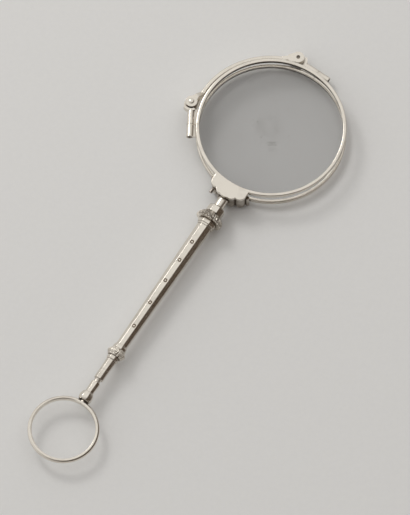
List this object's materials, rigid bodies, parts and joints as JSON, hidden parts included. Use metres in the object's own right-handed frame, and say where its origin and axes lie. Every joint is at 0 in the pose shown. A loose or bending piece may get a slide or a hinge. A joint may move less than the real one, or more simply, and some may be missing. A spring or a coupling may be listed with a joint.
{
  "type": "folding lorgnette",
  "caption": "Silver folding lorgnette: round lenses in thin rims folded one over the other on an arched bridge, on a faceted handle with engraved knops and a swivelling finger ring.",
  "frame": {"origin": "centre of the finger ring", "axes": "+Y runs along the handle from the ring to the lenses, +Z is the lens axis and looks out of the front lens, +X points away from the hinges"},
  "size_m": [0.0465, 0.1426, 0.008],
  "materials": {
    "silver": "polished, slightly worn",
    "steel": "turned",
    "spring_steel": "brown oxide",
    "lens_glass": "clear, polished"
  },
  "bodies": {
    "handle": {"back_rim": "silver", "back_lens": "lens_glass", "back_hinge_barrel": "silver", "back_closing_barrel": "silver", "back_closing_screw": "steel", "back_spring": "spring_steel", "catch_housing": "silver", "catch_spring": "spring_steel", "catch_rivet": "silver", "neck": "silver", "neck_collar": "silver", "upper_knop": "silver", "upper_ferrule": "silver", "handle_shaft": "silver", "tie_rod": "steel", "shaft_collar": "silver", "lower_knop": "silver", "tail_collar": "silver", "tail_taper": "silver", "tail_sleeve": "silver"},
    "release": {"release_stud": "silver"},
    "bridge": {"bridge_bow": "silver", "back_fork": "silver", "front_fork": "silver", "back_rivet": "silver", "front_rivet": "silver"},
    "front_eyepiece": {"front_rim": "silver", "front_lens": "lens_glass", "front_hinge_barrel": "silver", "front_closing_barrel": "silver", "front_closing_screw": "steel", "front_spring": "spring_steel", "cover_plate": "silver", "catch_hook": "silver"},
    "ring": {"finger_ring": "silver", "ring_button": "silver", "ring_stem": "silver", "swivel_pin": "steel", "swivel_washer": "silver"}
  },
  "joints": [
    {"name": "bridge_hinge", "type": "hinge", "parent": "handle", "child": "bridge", "pos_m": [-0.00555, 0.13054, 0], "axis": [0, 0, 1], "range_deg": [-83, 0], "deforming": ["back_spring"]},
    {"name": "lens_hinge", "type": "hinge", "parent": "bridge", "child": "front_eyepiece", "pos_m": [-0.02314, 0.10189, 0], "axis": [0, 0, 1], "range_deg": [-83, 0], "deforming": ["front_spring"]},
    {"name": "stud_slide", "type": "slide", "parent": "handle", "child": "release", "axis": [0, 1, 0], "range_m": [0, 0.00045], "stiffness_N_per_m": 300, "deforming": ["catch_spring"]},
    {"name": "ring_swivel", "type": "hinge", "parent": "handle", "child": "ring", "pos_m": [0, 0.0185, 0], "axis": [0, 1, 0], "continuous": true}
  ],
  "couplings": [
    {"joint": "lens_hinge", "follows": "bridge_hinge", "ratio": 1}
  ]
}
